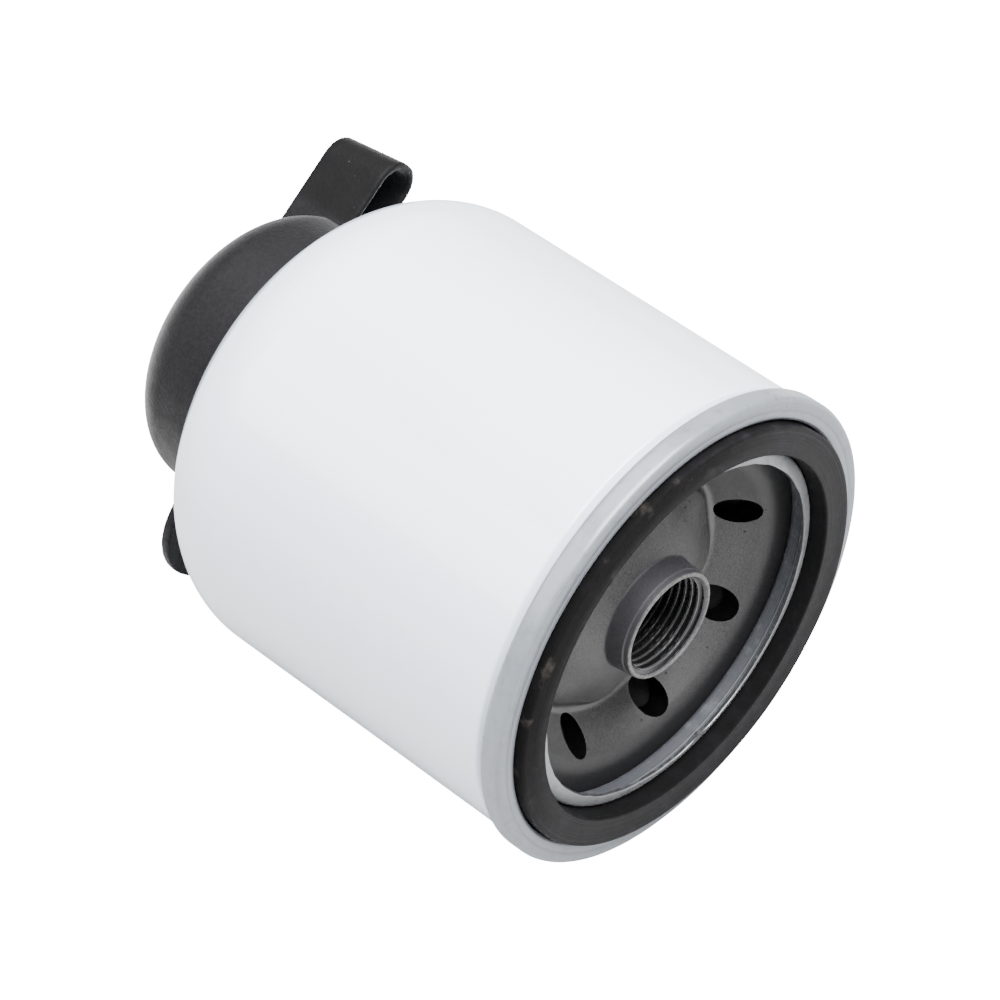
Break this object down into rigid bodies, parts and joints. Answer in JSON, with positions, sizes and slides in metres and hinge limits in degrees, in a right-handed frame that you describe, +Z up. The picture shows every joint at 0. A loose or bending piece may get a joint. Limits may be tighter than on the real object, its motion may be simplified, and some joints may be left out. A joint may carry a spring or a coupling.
{
  "type": "oil filter",
  "caption": "Spin-on oil filter: drawn can with a rolled seam, face gasket, threaded base plate with a ring of inlet holes, and a rubber magnet cap that pulls off its closed end.",
  "frame": {"origin": "centre of the gasket's sealing face, on the filter's axis", "axes": "+X along the axis out of the open, threaded end; +Z straight up for the filter lying on its side; the front that the camera sees is towards -Y"},
  "size_m": [0.1198, 0.094, 0.094],
  "materials": {
    "can_paint": "gloss white paint",
    "lid_steel": "bare light grey steel, satin",
    "sealant": "cured sealing compound",
    "plate_steel": "dark grey phosphated steel, dull with pits",
    "gasket_rubber": "moulded black nitrile, satin",
    "valve_rubber": "black nitrile, matte",
    "tinned_steel": "tinned sheet, satin",
    "potting": "cured potting resin",
    "filter_paper": "resin-treated pleated paper",
    "tube_steel": "plain pressed steel",
    "spring_steel": "oiled spring wire",
    "boot_rubber": "moulded black rubber, dusty matte",
    "ferrite": "sintered ferrite, dull"
  },
  "bodies": {
    "can": {"can_shell": "can_paint", "seaming_lid": "lid_steel", "seam_sealant": "sealant", "thread_plate": "plate_steel", "sealing_gasket": "gasket_rubber", "anti_drain_valve": "valve_rubber", "upper_end_cap": "tinned_steel", "upper_potting": "potting", "pleated_media": "filter_paper", "media_clip": "tinned_steel", "centre_tube": "tube_steel", "lower_potting": "potting", "lower_end_cap": "tinned_steel", "bypass_cage": "tinned_steel", "bypass_spring": "spring_steel", "element_spring": "spring_steel"},
    "bypass_valve": {"bypass_poppet": "tube_steel", "bypass_seal": "gasket_rubber"},
    "magnet_cap": {"magnet_boot": "boot_rubber", "ring_magnet": "ferrite", "magnet_plate": "tube_steel"}
  },
  "joints": [
    {"name": "magnet_cap_pull", "type": "slide", "parent": "can", "child": "magnet_cap", "axis": [-1, 0, 0], "range_m": [0, 0.05]},
    {"name": "bypass_lift", "type": "slide", "parent": "can", "child": "bypass_valve", "axis": [1, 0, 0], "range_m": [0, 0.003], "stiffness_N_per_m": 1500, "deforming": ["bypass_spring"]}
  ]
}
